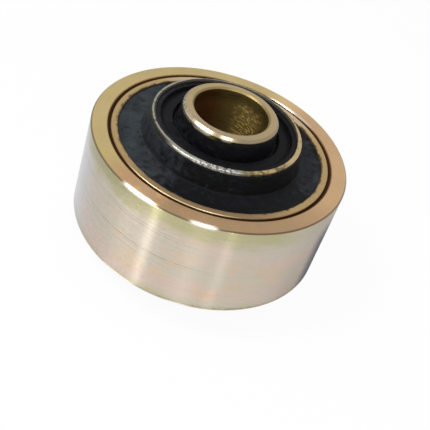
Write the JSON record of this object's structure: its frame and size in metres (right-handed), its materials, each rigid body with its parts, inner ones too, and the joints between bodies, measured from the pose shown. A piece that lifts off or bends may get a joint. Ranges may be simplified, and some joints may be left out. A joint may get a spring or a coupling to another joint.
{
  "type": "rubber metal bush",
  "caption": "Bonded rubber and metal bush with concentric sleeves, pressed into a heavy turned ring, with a through bore for a bolt or pin.",
  "frame": {"origin": "centre of the bush, on the axis of its bore and half way along it", "axes": "+Z along the bore, both ends alike"},
  "size_m": [0.105, 0.105, 0.072],
  "materials": {
    "ring_plating": "fine turned, yellow zinc plated",
    "outer_sleeve_plating": "satin, yellow zinc plated",
    "outer_rubber": "matt, dusty",
    "intermediate_sleeve_plating": "satin, worn plating",
    "inner_rubber": "matt",
    "inner_sleeve_plating": "turned, yellow zinc plated"
  },
  "bodies": {
    "root": {"outer_ring": "ring_plating", "outer_sleeve": "outer_sleeve_plating", "outer_rubber": "outer_rubber", "intermediate_sleeve": "intermediate_sleeve_plating", "inner_rubber": "inner_rubber", "inner_sleeve": "inner_sleeve_plating"}
  },
  "joints": []
}
